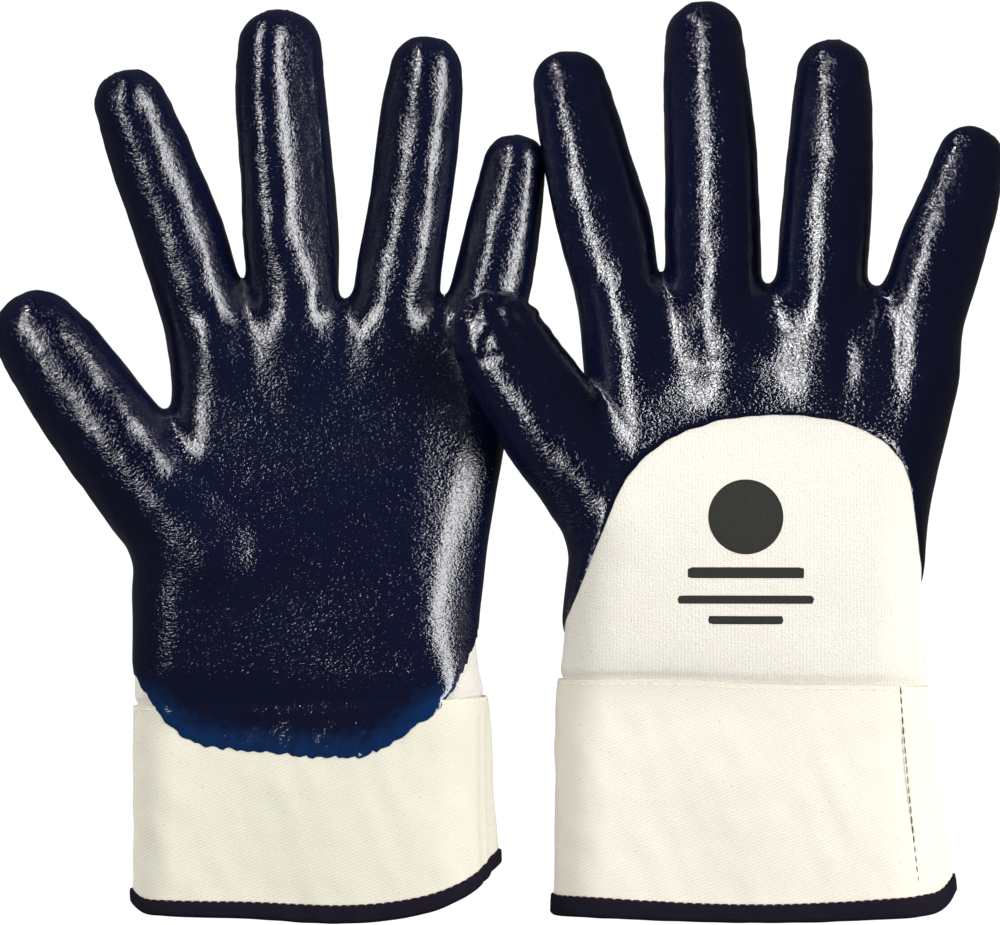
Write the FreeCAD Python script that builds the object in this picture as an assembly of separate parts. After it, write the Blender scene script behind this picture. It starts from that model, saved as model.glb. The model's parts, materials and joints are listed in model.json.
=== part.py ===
"""A pair of nitrile-dipped work gloves with canvas safety cuffs, lying on a table.

Millimetres. +Z is up, +Y runs from the cuffs to the fingertips, +X runs from the left glove to the
right glove. The origin is on the table, under the middle of the pair.

The left glove lies on its back, palm up. The right glove lies palm down, and its thumb rests above the
little-finger edge of the left one. Each glove is a cotton liner, a nitrile skin dipped over it, and a
stiff canvas cuff with a bound edge. A digit bends where its skin creases: there the shells are cut to a
wedge on the closing side, and a soft fold fills the wedge at rest.
"""

import FreeCAD
import Part

import math
import os

V = FreeCAD.Vector

# Layers
COAT_T = 1.0  # nitrile skin
LINER_T = 1.2  # knitted cotton liner
CANVAS_T = 0.8  # each canvas ply of the cuff
STIFFENER_T = 0.4  # interlining between the plies
BINDING_T = 0.8  # tape round the cuff's edge
BINDING_W = 5.5  # how far the tape reaches up each face
LAP_T = 0.7  # nitrile where it runs onto the cuff
PRINT_T = 0.25  # ink on the back of the hand
OPEN_END = 1.0  # a shell's inner shape is this much longer than its outer one at each open end

CUFF_T = 2 * CANVAS_T + STIFFENER_T
SKIN_T = COAT_T + LINER_T

# Joints, in degrees
FINGER_FLEX = 75.0
THUMB_FLEX = 25.0
THUMB_OPEN = 8.0
WRIST_TO_PALM = 20.0
WRIST_TO_BACK = 15.0
HINGE_GAP = 0.4  # slit left between two bodies at a hinge
WEDGE_SPARE = 1.0  # extra opening of each side of a wedge, in degrees
FOLD_GAP = 0.35  # a soft fold stays this far from the moving shell
FOLD_INSET = 0.2  # and this far inside its outer surface
FOLD_START = 2.0  # a digit's fold starts this far from its hinge
FOLD_REACH = 40.0

# Stitching
STITCH_L, STITCH_W, STITCH_H = 3.2, 0.7, 0.35
STITCH_PITCH = 4.6

# Printed mark on the back: a plain disc over three bars
MARK_DISC_R = 11.0
MARK_DISC_Y = 52.0
MARK_BARS = [(34.0, 34.0, 3.2), (26.5, 40.0, 2.4), (20.5, 22.0, 2.4)]  # y, length, height

BIG = 400.0  # larger than the pair
STUB_OVER = 3.0  # a digit's stub is made this much too long, then cut at the hinge
TUBE_START = -1.0  # a digit's shell starts this far behind its hinge, then is cut to its wedge
WEDGE_SPAN = 60.0  # how far the cutting shapes at a hinge reach
PRISM_SPARE = 5.0  # how far those beside a digit's stub reach past it

# A hand is a list of sections (y, left x, right x, lowest z, highest z), from the wrist to the knuckles.
# A digit is three points (x, y, z, radius): where it leaves the hand, where it bends, and its tip's centre.
LEFT = {
    "name": "left",
    "at": (-56.9, -71.85),
    "palm": 1,
    "hand": [
        (0, -52.0, 51.5, 3.0, 35.0),
        (24, -53.0, 50.5, 1.6, 36.5),
        (46, -52.0, 53.0, 0.9, 36.0),
        (68, -45.0, 55.5, 0.7, 33.0),
        (90, -39.5, 58.0, 0.7, 29.0),
        (114, -40.5, 55.2, 0.9, 27.0),
    ],
    "digits": {
        "thumb": [(-40, 50, 18, 17.2), (-64.5, 85.8, 17.0, 15.8), (-79.2, 108.6, 16.2, 13.5)],
        "index": [(-26.5, 100, 14, 13.0), (-39.8, 146, 13.5, 12.6), (-52.2, 177.9, 16.5, 11.4)],
        "middle": [(-4.5, 104, 14.5, 13.6), (-6.1, 152, 14.0, 13.2), (-8.7, 195.6, 17.0, 11.5)],
        "ring": [(23, 102, 14, 13.0), (29.2, 147, 13.5, 12.7), (34.5, 188.1, 16.5, 11.2)],
        "little": [(46.5, 90, 13.2, 12.0), (56.0, 131.4, 12.4, 11.2), (60.8, 159.6, 14.0, 9.5)],
    },
    "cuff": [(0, -52.0, 53.5, 0.75, 37.0), (-63.5, -52.5, 56.8, 0.75, 40.0)],
    "seam_x": (45.5, 52.0),
}
RIGHT = {
    "name": "right",
    "at": (71.9, -67.85),
    "palm": -1,
    "hand": [
        (0, -54.5, 54.5, 3.5, 37.5),
        (20, -52.5, 53.0, 4.0, 39.5),
        (45, -51.0, 54.0, 4.5, 40.0),
        (66, -48.5, 57.5, 5.0, 38.0),
        (86, -45.0, 61.5, 5.5, 35.0),
        (115, -46.5, 64.0, 6.5, 33.0),
    ],
    "digits": {
        "thumb": [(-38, 50, 21.8, 16.0), (-61.5, 87.5, 34.5, 14.0), (-75.5, 107.2, 40.0, 11.3)],
        "index": [(-33.0, 98, 19.5, 12.4), (-44.1, 149, 19.0, 11.3), (-51.0, 181.2, 11.5, 9.3)],
        "middle": [(-8.3, 102, 20, 13.0), (-9.3, 152, 19.5, 13.6), (-11.1, 194.1, 12.0, 11.4)],
        "ring": [(20.5, 100, 20, 13.0), (24.6, 146, 19.0, 13.1), (27.0, 183.9, 11.5, 10.8)],
        "little": [(48.5, 94, 19.5, 12.8), (59.7, 134, 17.0, 12.1), (68.1, 158.7, 10.5, 9.6)],
    },
    "cuff": [(0, -55.8, 55.5, 0.75, 39.0), (-68.0, -56.8, 63.0, 0.75, 43.0)],
    "seam_x": (47.0, 57.0),
}

# Edge of the nitrile, the same on both gloves, from the wrist seam: an arch on the back of the hand, and
# on the palm side a tongue with rounded corners that runs down onto the cuff.
ARCH_FOOT_Y, ARCH_HALF_W, ARCH_RISE = 18.0, 54.0, 62.0
TONGUE_L, TONGUE_HALF_W, TONGUE_CORNER = 15.5, 50.0, 26.0


def stadium(section, inset=0.0):
    """A flat loop at y: two straight faces, top and bottom, joined by half circles."""
    y, left, right, low, high = section
    r = (high - low) / 2 - inset
    mid = (high + low) / 2
    a, b = left + inset + r, right - inset - r
    top = Part.makeLine(V(a, y, mid + r), V(b, y, mid + r))
    bottom = Part.makeLine(V(b, y, mid - r), V(a, y, mid - r))
    round_right = Part.Arc(V(b, y, mid + r), V(b + r, y, mid), V(b, y, mid - r)).toShape()
    round_left = Part.Arc(V(a, y, mid - r), V(a - r, y, mid), V(a, y, mid + r)).toShape()
    return Part.Wire([top, round_right, bottom, round_left])


def lofted(sections, inset=0.0):
    """A solid through flat loops, with its wall moved in by inset."""
    return Part.makeLoft([stadium(s, inset) for s in sections], True, True)


def between(first, last, y):
    """The section at y on the straight line through two sections."""
    t = (y - first[0]) / (last[0] - first[0])
    return tuple(a + t * (b - a) for a, b in zip(first, last))


def cone(start, end, inset, after=0.0):
    """A tapered rod from one (x, y, z, radius) to the next, made longer at its far end by after."""
    a, b = V(*start[:3]), V(*end[:3])
    length = (b - a).Length
    along = (b - a).normalize()
    slope = (end[3] - start[3]) / length
    r0 = start[3] - inset
    r1 = end[3] + after * slope - inset
    if abs(r0 - r1) < 1e-6:
        return Part.makeCylinder(r0, length + after, a, along)
    return Part.makeCone(r0, r1, length + after, a, along)


def hinge_frame(glove, digit):
    """The hinge of a digit: its point, the way the tip lies, the way it closes, and its axis."""
    _, bend, tip = glove["digits"][digit]
    point = V(*bend[:3])
    along = (V(*tip[:3]) - point).normalize()
    if digit == "thumb":
        up = V(0, 0, 1)
        side = along.cross(up)
    else:
        side = V(0, 0, glove["palm"])
    closing = (side - along * side.dot(along)).normalize()
    return point, along, closing, along.cross(closing)


def prism(point, along, closing, outline, width=BIG):
    """A prism across the hinge. The outline's points are (along, closing) from the hinge."""
    axis = along.cross(closing)
    corners = [point + along * u + closing * v - axis * width / 2 for u, v in outline]
    face = Part.Face(Part.makePolygon(corners + [corners[0]]))
    return face.extrude(axis * width)


def wedge_outline(digit, sign, height, length):
    """All that lies on one side of a hinge's slit and of the sloping faces of its wedges."""
    closing, opening = (math.tan(math.radians(a)) * height for a in wedge_half_angles(digit))
    slit = -HINGE_GAP / 2
    points = [
        (slit - opening, -height),
        (slit, 0),
        (slit - closing, height),
        (length, height),
        (length, -height),
    ]
    return [(sign * u, v) for u, v in points]


def wedge_half_angles(digit):
    """Half the wedge on the closing side and half the one on the opening side. Only a thumb opens."""
    if digit == "thumb":
        return THUMB_FLEX / 2 + WEDGE_SPARE, THUMB_OPEN / 2 + WEDGE_SPARE
    return FINGER_FLEX / 2 + WEDGE_SPARE, 0.0


def beyond_hinge(glove, digit):
    """The space beside the hand's stub that the moving end of a digit needs."""
    point, along, closing, _ = hinge_frame(glove, digit)
    radius = glove["digits"][digit][1][3]
    outline = wedge_outline(digit, 1, radius + PRISM_SPARE, STUB_OVER + PRISM_SPARE)
    return prism(point, along, closing, outline, 2 * radius + 2)


def behind_hinge(glove, digit):
    """The space that the still end of a digit needs."""
    point, along, closing, _ = hinge_frame(glove, digit)
    return prism(point, along, closing, wedge_outline(digit, -1, WEDGE_SPAN, WEDGE_SPAN))


def quarter_dome(radius, height):
    """A quarter circle in the XZ plane, from a tube's wall at height up to its axis."""
    half = radius * math.sqrt(0.5)
    return Part.Arc(V(radius, 0, height), V(half, 0, height + half), V(0, 0, height + radius)).toShape()


def digit_shell(glove, digit, outer_inset, inner_inset):
    """The moving end of a digit: a tapered tube with a domed tip, open at the hinge."""
    _, bend, tip = glove["digits"][digit]
    a, b = V(*bend[:3]), V(*tip[:3])
    length = (b - a).Length
    slope = (tip[3] - bend[3]) / length
    r_out, r_in = tip[3] - outer_inset, tip[3] - inner_inset
    base = bend[3] + TUBE_START * slope
    edges = [
        Part.makeLine(V(base - inner_inset, 0, TUBE_START), V(base - outer_inset, 0, TUBE_START)),
        Part.makeLine(V(base - outer_inset, 0, TUBE_START), V(r_out, 0, length)),
        quarter_dome(r_out, length),
        Part.makeLine(V(0, 0, length + r_out), V(0, 0, length + r_in)),
        quarter_dome(r_in, length),
        Part.makeLine(V(r_in, 0, length), V(base - inner_inset, 0, TUBE_START)),
    ]
    profile = Part.Wire(Part.__sortEdges__(edges))
    shell = Part.Face(profile).revolve(V(0, 0, 0), V(0, 0, 1), 360)
    shell.Placement = FreeCAD.Placement(a, FreeCAD.Rotation(V(0, 0, 1), b - a))
    return shell.cut(behind_hinge(glove, digit))


def hand_solid(glove, inset):
    """The hand up to the digits' hinges, as one solid, with every wall moved in by inset."""
    sections = list(glove["hand"])
    last = sections[-1]
    if inset:
        sections[-1] = between(sections[-2], last, last[0] - inset)
    body = lofted(sections, inset)
    stubs = [cone(d[0], d[1], inset, after=STUB_OVER) for d in glove["digits"].values()]
    return body.fuse(stubs)


def half_space(glove, side):
    """Everything on the palm side (1) or the back side (-1) of the hand's middle plane."""
    _, _, _, low, high = glove["hand"][0]
    mid = (low + high) / 2
    box = Part.makeBox(BIG, BIG, BIG, V(-BIG / 2, -BIG / 2, mid))
    if side * glove["palm"] < 0:
        box.translate(V(0, 0, -BIG))
    return box


def bare_back(glove):
    """The part of the back of the hand that isn't dipped: below the arch."""
    centre = V(0, ARCH_FOOT_Y, -BIG / 2)
    ellipse = Part.Ellipse(centre + V(0, ARCH_RISE, 0), centre + V(ARCH_HALF_W, 0, 0), centre)
    arch = Part.Face(Part.Wire(ellipse.toShape())).extrude(V(0, 0, BIG))
    foot = Part.makeBox(BIG, BIG / 2, BIG, V(-BIG / 2, ARCH_FOOT_Y - BIG / 2, -BIG / 2))
    return arch.fuse(foot).common(half_space(glove, -1))


def tongue(glove):
    """The outline of the nitrile on the palm side, as a tall prism with two rounded lower corners."""
    box = Part.makeBox(2 * TONGUE_HALF_W, BIG / 2, BIG, V(-TONGUE_HALF_W, -TONGUE_L, -BIG / 2))
    lower = [e for e in box.Edges if abs(e.BoundBox.YMax + TONGUE_L) < 1e-6 and e.BoundBox.ZLength > 1]
    box = box.makeFillet(TONGUE_CORNER, lower)
    upper = Part.makeBox(BIG, BIG, BIG, V(-BIG / 2, TONGUE_CORNER - TONGUE_L, -BIG / 2))
    return box.fuse(upper)


def wrist_frame(glove):
    """The wrist hinge: its point, and its axis, which turns the cuff towards the palm."""
    _, _, _, low, high = glove["cuff"][0]
    return V(0, 0, (low + high) / 2), V(-glove["palm"], 0, 0)


def wrist_clearance(glove, gap):
    """The space in front of the cuff's edge that it sweeps as the wrist bends, plus the cuff's own side."""
    point, _ = wrist_frame(glove)
    to_palm = math.tan(math.radians(WRIST_TO_PALM + WEDGE_SPARE)) * WEDGE_SPAN
    to_back = math.tan(math.radians(WRIST_TO_BACK + WEDGE_SPARE)) * WEDGE_SPAN
    outline = [
        (gap, 0),
        (gap + to_palm, WEDGE_SPAN),
        (-WEDGE_SPAN, WEDGE_SPAN),
        (-WEDGE_SPAN, -WEDGE_SPAN),
        (gap + to_back, -WEDGE_SPAN),
    ]
    return prism(point, V(0, 1, 0), V(0, 0, glove["palm"]), outline)


def hand_parts(glove):
    """The dipped skin and the two liner panels of the hand, cut clear of every hinge."""
    solids = [hand_solid(glove, inset) for inset in (0, COAT_T, SKIN_T)]
    gone = [beyond_hinge(glove, d) for d in glove["digits"]] + [wrist_clearance(glove, HINGE_GAP)]
    coat = solids[0].cut(solids[1]).cut(gone)
    coat = coat.cut(bare_back(glove))
    corners = half_space(glove, 1).cut(tongue(glove))
    coat = coat.cut(corners)
    liner = solids[1].cut(solids[2]).cut(gone)
    name = glove["name"]
    return {
        f"{name}_palm_coating": coat,
        f"{name}_liner_palm_panel": liner.common(half_space(glove, 1)),
        f"{name}_liner_back_panel": liner.common(half_space(glove, -1)),
    }


def digit_parts(glove):
    """Each digit's moving end: the nitrile skin and the liner inside it."""
    parts = {}
    for digit in glove["digits"]:
        name = f"{glove['name']}_{digit}"
        parts[f"{name}_coating"] = digit_shell(glove, digit, 0, COAT_T)
        parts[f"{name}_liner"] = digit_shell(glove, digit, COAT_T, SKIN_T)
    return parts


def fold_zones(glove):
    """The soft folds that fill each digit's wedge and the wrist's at rest."""
    folds = []
    for digit, (_, bend, _) in glove["digits"].items():
        point, along, closing, _ = hinge_frame(glove, digit)
        radius = bend[3] - FOLD_INSET
        start = point - along * FOLD_REACH
        tube = Part.makeCylinder(radius, 2 * FOLD_REACH, start, along)
        tube = tube.cut(Part.makeCylinder(radius - SKIN_T, 2 * FOLD_REACH, start, along))
        half = math.radians(wedge_half_angles(digit)[0])
        low, reach = FOLD_START, FOLD_REACH
        still, moving = -HINGE_GAP / 2, HINGE_GAP / 2 - FOLD_GAP
        outline = [
            (still - low * math.tan(half), low),
            (moving + low * math.tan(half), low),
            (moving + reach * math.tan(half), reach),
            (still - reach * math.tan(half), reach),
        ]
        folds.append(tube.common(prism(point, along, closing, outline)))
    # The wrist: liner left between the hand's sloping end and the cuff's edge.
    ring = lofted(glove["hand"][:2], COAT_T).cut(lofted(glove["hand"][:2], SKIN_T))
    front = Part.makeBox(BIG, BIG, BIG, V(-BIG / 2, HINGE_GAP + 0.2, -BIG / 2))
    wrist = ring.common(front).common(wrist_clearance(glove, HINGE_GAP))
    folds.extend(wrist.Solids)
    return Part.makeCompound([s for f in folds for s in f.Solids])


def cuff_shell(glove, y_top, y_bottom, outer_inset, inner_inset, spare=0.0):
    """A ring of the cuff between two heights and two depths, with its inner shape longer by spare."""
    first, last = glove["cuff"]
    outer = lofted([between(first, last, y) for y in (y_top, y_bottom)], outer_inset)
    inner = lofted([between(first, last, y) for y in (y_top + spare, y_bottom - spare)], inner_inset)
    return outer.cut(inner)


def cuff_face_point(glove, x, y, side):
    """A point on the cuff's flat palm side (1) or back side (-1)."""
    _, _, _, low, high = between(*glove["cuff"], y)
    return V(x, y, high if side * glove["palm"] > 0 else low)


def stitch(glove, start, end, side):
    """One stitch lying on the cuff's face."""
    a = cuff_face_point(glove, *start, side)
    b = cuff_face_point(glove, *end, side)
    along = (b - a).normalize()
    foot = cuff_face_point(glove, start[0], start[1] - 1, side)
    top = 1 if side * glove["palm"] > 0 else -1
    slope = (a - foot).normalize()
    up = V(1, 0, 0).cross(slope).normalize() * top
    across = up.cross(along).normalize()
    middle = (a + b) * 0.5
    corner = middle - along * STITCH_L / 2 - across * STITCH_W / 2
    end_corner = corner + along * STITCH_L
    base = [corner, end_corner, end_corner + across * STITCH_W, corner + across * STITCH_W, corner]
    return Part.Face(Part.makePolygon(base)).extrude(up * STITCH_H)


def stitch_row(glove, start, end, side):
    """Evenly spaced stitches from one point of the cuff's face to another."""
    (x0, y0), (x1, y1) = start, end
    count = int(math.hypot(x1 - x0, y1 - y0) // STITCH_PITCH)
    gap = (1 - STITCH_L / STITCH_PITCH) / 2
    row = []
    for i in range(count):
        t0 = (i + gap) / count
        t1 = (i + 1 - gap) / count
        a = (x0 + (x1 - x0) * t0, y0 + (y1 - y0) * t0)
        b = (x0 + (x1 - x0) * t1, y0 + (y1 - y0) * t1)
        row.append(stitch(glove, a, b, side))
    return row


def flat_span(glove, y):
    """The x range of the cuff's flat faces at y."""
    _, left, right, low, high = between(*glove["cuff"], y)
    r = (high - low) / 2
    return left + r, right - r


def cuff_parts(glove):
    """The stiff cuff: two canvas plies, an interlining, the bound edge, the threads and the nitrile lap."""
    name = glove["name"]
    end_y = glove["cuff"][1][0]
    outer_in, stiff_in = CANVAS_T, CANVAS_T + STIFFENER_T
    tape_top = end_y + BINDING_W
    around = cuff_shell(glove, tape_top, end_y - BINDING_T, -BINDING_T, CUFF_T + BINDING_T, OPEN_END)
    plies = cuff_shell(glove, 0, end_y, 0, CUFF_T)
    above_table = Part.makeBox(BIG, BIG, BIG, V(-BIG / 2, -BIG / 2, 0))
    lap = cuff_shell(glove, 0, -TONGUE_L - 1, -LAP_T, 0).common(tongue(glove))
    face = Part.makeBox(BIG, BIG, 8 * LAP_T, V(-BIG / 2, -BIG / 2, -4 * LAP_T))
    first, last = glove["cuff"]
    palm_z = (first[4] + 1) if glove["palm"] > 0 else first[3]
    face.translate(V(0, 0, palm_z))
    lap = lap.common(face)
    seam_a, seam_b = glove["seam_x"]
    seam = stitch_row(glove, (seam_a, -4.0), (seam_b, tape_top - 1), -1)
    wrist_y, tape_y = -2.0, tape_top + 1.2
    wrist_left, wrist_right = flat_span(glove, wrist_y)
    wrist = stitch_row(glove, (wrist_left, wrist_y), (seam_a - 3, wrist_y), -1)
    wrist_palm = []
    for a, b in ((wrist_left, -TONGUE_HALF_W), (TONGUE_HALF_W, wrist_right)):
        if b - a > STITCH_PITCH:
            wrist_palm += stitch_row(glove, (a, wrist_y), (b, wrist_y), 1)
    left, right = flat_span(glove, tape_y)
    tape = stitch_row(glove, (left, tape_y), (seam_b - 4, tape_y), -1)
    tape += stitch_row(glove, (left, tape_y), (right, tape_y), 1)
    return {
        f"{name}_cuff_outer_canvas": cuff_shell(glove, 0, end_y, 0, outer_in, OPEN_END),
        f"{name}_cuff_interlining": cuff_shell(glove, 0, end_y, outer_in, stiff_in, OPEN_END),
        f"{name}_cuff_inner_canvas": cuff_shell(glove, 0, end_y, stiff_in, CUFF_T, OPEN_END),
        f"{name}_cuff_binding_tape": around.cut(plies).common(above_table),
        f"{name}_coating_cuff_lap": lap,
        f"{name}_side_seam_thread": Part.makeCompound(seam),
        f"{name}_wrist_seam_thread": Part.makeCompound(wrist + wrist_palm),
        f"{name}_binding_thread": Part.makeCompound(tape),
    }


def back_print(glove):
    """The ink mark on the undipped back of the hand: a disc and three bars."""
    disc = Part.makeCylinder(MARK_DISC_R, BIG, V(0, MARK_DISC_Y, -BIG / 2))
    shapes = [disc]
    for y, length, height in MARK_BARS:
        shapes.append(Part.makeBox(length, height, BIG, V(-length / 2, y, -BIG / 2)))
    skin = lofted(glove["hand"], COAT_T - PRINT_T).cut(lofted(glove["hand"], COAT_T))
    solids = []
    for shape in shapes:
        solids += skin.common(shape).common(half_space(glove, -1)).Solids
    return Part.makeCompound(solids)


def glove_parts(glove):
    name = glove["name"]
    parts = hand_parts(glove)
    parts.update(digit_parts(glove))
    parts.update(cuff_parts(glove))
    parts[f"{name}_fold_zones"] = fold_zones(glove)
    parts[f"{name}_back_print"] = back_print(glove)
    return parts


def main():
    os.makedirs("parts", exist_ok=True)
    for glove in (LEFT, RIGHT):
        for node, shape in glove_parts(glove).items():
            shape.translate(V(*glove["at"], 0))
            shape.exportStep(f"parts/{node}.step")
            print(node, len(shape.Solids), round(shape.Volume, 1), shape.isValid())


if __name__ == "__main__":
    main()
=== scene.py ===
"""Looks for a pair of nitrile-dipped work gloves: the left one palm up, the right one palm down.

Shapes are worked out in millimetres, in a frame of each glove's own: the origin lies on the table under
the middle of the wrist seam, and +Y runs to the finger tips. They are written to meshes in metres.
"""

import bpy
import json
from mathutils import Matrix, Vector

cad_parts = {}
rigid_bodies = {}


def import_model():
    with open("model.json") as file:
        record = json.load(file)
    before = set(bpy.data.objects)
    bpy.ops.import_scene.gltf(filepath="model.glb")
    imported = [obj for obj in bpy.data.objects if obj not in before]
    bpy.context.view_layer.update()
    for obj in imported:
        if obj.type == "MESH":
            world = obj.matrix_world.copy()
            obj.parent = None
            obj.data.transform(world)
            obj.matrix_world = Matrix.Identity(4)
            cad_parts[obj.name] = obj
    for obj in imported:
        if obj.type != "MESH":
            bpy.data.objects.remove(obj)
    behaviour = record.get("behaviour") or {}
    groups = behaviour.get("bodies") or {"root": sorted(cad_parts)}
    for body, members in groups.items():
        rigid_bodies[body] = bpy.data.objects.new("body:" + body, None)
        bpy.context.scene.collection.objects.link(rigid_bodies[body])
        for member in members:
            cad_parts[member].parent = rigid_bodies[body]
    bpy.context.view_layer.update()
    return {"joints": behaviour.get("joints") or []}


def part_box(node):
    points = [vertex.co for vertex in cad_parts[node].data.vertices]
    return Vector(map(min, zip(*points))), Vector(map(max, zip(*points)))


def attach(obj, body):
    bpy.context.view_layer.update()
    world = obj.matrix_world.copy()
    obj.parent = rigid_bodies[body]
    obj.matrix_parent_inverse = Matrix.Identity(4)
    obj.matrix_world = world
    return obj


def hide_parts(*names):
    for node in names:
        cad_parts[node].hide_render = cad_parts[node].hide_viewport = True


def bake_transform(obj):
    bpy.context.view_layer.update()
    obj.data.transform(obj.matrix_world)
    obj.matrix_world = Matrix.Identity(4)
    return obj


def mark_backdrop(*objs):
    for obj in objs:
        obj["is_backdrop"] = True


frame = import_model()

import json
import math

import bpy
import numpy as np
from mathutils import Vector

MM = 0.001
DIGITS = ("thumb", "index", "middle", "ring", "little")

# Layers, measured inwards from the outside of the nitrile skin
COAT_T = 0.9
KNIT_IN = 1.0
SKIN_T = 2.2
FEATHER = 2.0  # the skin thins out over this distance from its edge
CANVAS_T = 0.8
CUFF_T = 2.0
LAP_RISE = 0.7  # the skin's outside above the canvas

DIP_DEPTH = 0.98  # from the skin's outside to its back over the palm, short of the knit by a hair
LAP_THINNER = 0.3  # the lap is this much thinner than that
EDGE_T = 0.16  # what is left of the skin at its very edge
SEAM_TUCK = 0.6  # the knit's end lies this far inside the cuff
SEAM_PINCH = 1.1  # how deep the wrist seam pulls the knit in
SEAM_PINCH_REACH = 1.7
INK_PROUD = 0.07  # the mark stands out from the knit by this much
INK_SUNK = 0.05  # and reaches this far into it

VOXEL = 1.25  # pitch of the grid that the hand is meshed on
RELAX_ROUNDS = 2
HAND_OPEN = -24.0  # y where the hand's surface is left open, inside the cuff
WEB = 5.0  # how softly digits run into each other and into the palm
SEAM_BACK = 16.5  # a digit's own piece starts this far before its hinge

CUFF_COLUMNS = 420  # points round the cuff
CUFF_ROWS = 56
TAPE_T = 0.75
TAPE_LIFT = 1.5  # the tape's lower fold starts this far above the cuff's mouth
PALM_UP_SHARE = 0.4  # side weights above this count as the palm side
LAP_HALF = 46.0  # half the lap's width at the wrist seam
SIDE_PITCH = 2.9  # from one stitch of the side seam to the next

# The stage, in metres: half widths of its two planes, lamps and camera
BACKDROP_HALF = 12.0
TABLE_HALF = 2.0
LAMP_DISTANCE = 1.7
LAMP_AIM_Z = 0.02
CAMERA_HEIGHT = 1.5
CAMERA_LENS, CAMERA_SENSOR = 180, 36  # in millimetres

# Mark on the back: a plain disc over three bars, each bar as y, length, height
MARK_DISC_R = 11.0
MARK_DISC_Y = 52.0
MARK_BARS = [(34.0, 34.0, 3.2), (26.5, 40.0, 2.4), (20.5, 22.0, 2.4)]

# The dip's edge as y over x: across the palm side of the cuff, and round the bare back of the hand
PALM_EDGE = [
    (-54, 13), (-50.8, 7.5), (-45.7, 0.4), (-38.3, -7.3), (-30.3, -11.1), (-7.6, -13.8),
    (15.9, -14), (21.7, -12.4), (33.5, -4.5), (42.2, 3.6), (51, 19.8),
]
BACK_EDGE = [
    (-54, 20), (-50.6, 27.8), (-42.3, 47.7), (-34.3, 64), (-18.6, 76.5), (2, 81.4),
    (17, 81.4), (31.8, 78.3), (43.6, 71), (49, 61), (52.5, 41), (54, 34),
]

# hand: y, left, right, left radius, right radius, height of the left axis, height of the right axis
# digits: centre x, y, z and radius, from inside the palm to the centre of the tip's dome
# ovals: how far a digit is off round, and the way that its wide side faces, in degrees
# root: how much lower and thinner a finger starts inside the palm
# slope: where the palm's top falls off to its right edge, from x to x, and by what share of its height
# swells: pads and creases as x, y, height and the two half widths
# rim: y over x of the cuff's mouth
LEFT = {
    "palm": 1,
    "hand": [
        (-70, -53.2, 58.0, 14.0, 19.0, 15.0, 20.0),
        (-30, -52.9, 56.0, 14.0, 18.5, 15.5, 19.5),
        (0, -52.6, 54.4, 14.0, 17.5, 16.0, 19.0),
        (12, -52.2, 51.4, 14.5, 16.5, 17.5, 19.0),
        (24, -52.0, 50.8, 15.5, 16.5, 18.0, 19.0),
        (36, -52.0, 52.0, 16.0, 16.0, 18.5, 18.0),
        (48, -50.0, 53.3, 16.5, 15.5, 18.5, 17.0),
        (62, -46.0, 55.6, 15.5, 15.0, 17.5, 16.0),
        (76, -42.5, 58.0, 14.0, 14.2, 16.0, 15.3),
        (92, -40.5, 58.8, 13.0, 13.2, 14.5, 14.3),
        (106, -39.0, 57.0, 12.6, 12.4, 13.8, 13.5),
    ],
    "digits": {
        "thumb": [
            (-28, 46, 19.5, 17.5), (-40, 57, 19.3, 17), (-55, 76, 18.3, 16.3),
            (-66.5, 91.5, 17.2, 15.6), (-75.5, 103.5, 16.6, 14.6), (-80.2, 109.5, 16.4, 13.2),
        ],
        "index": [
            (-26, 98, 13.8, 13), (-32, 119, 13.6, 12.8), (-38.6, 141, 13.4, 12.9),
            (-46.6, 163, 14.6, 12), (-50.4, 172.5, 15.6, 11.3), (-52.3, 177.6, 16.4, 10.6),
        ],
        "middle": [
            (-4, 98, 14.2, 13.8), (-4.6, 124, 14.4, 13.5), (-5.6, 150, 14, 13),
            (-7.4, 175, 15, 12.4), (-8.2, 188, 16.2, 11.9), (-8.3, 195, 17, 11.3),
        ],
        "ring": [
            (22, 98, 13.8, 13), (26.2, 124, 13.8, 12.6), (29.6, 147, 13.5, 12.4),
            (32.6, 168, 14.6, 12.1), (34.2, 181, 15.8, 11.6), (34.8, 187.6, 16.6, 10.8),
        ],
        "little": [
            (45.5, 86, 13.4, 12.8), (51.5, 110, 12.9, 12.2), (55.6, 130, 12.3, 11.6),
            (58.5, 146, 12.9, 10.8), (60.3, 155.5, 13.6, 10), (61, 159.8, 14, 9.5),
        ],
    },
    "ovals": {
        "thumb": (0.2, -40), "middle": (2.8, -45), "index": (0.6, -45), "ring": (0.3, 45),
        "little": (0.3, 45),
    },
    "root": (-3.0, -5.0),
    "slope": (28, 53, 0.30),
    "swells": [(44, 21, -1.2, 14, 6.5), (-4, 102, -0.5, 5, 9), (22, 101, -0.5, 5, 9)],
    "rim": [
        (-53, -59.3), (-49.5, -61.4), (-43, -62), (-20, -62.6), (14, -63.4), (31, -61.3),
        (42.5, -57.8), (51.9, -52.6), (57.8, -46.3),
    ],
}
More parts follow.
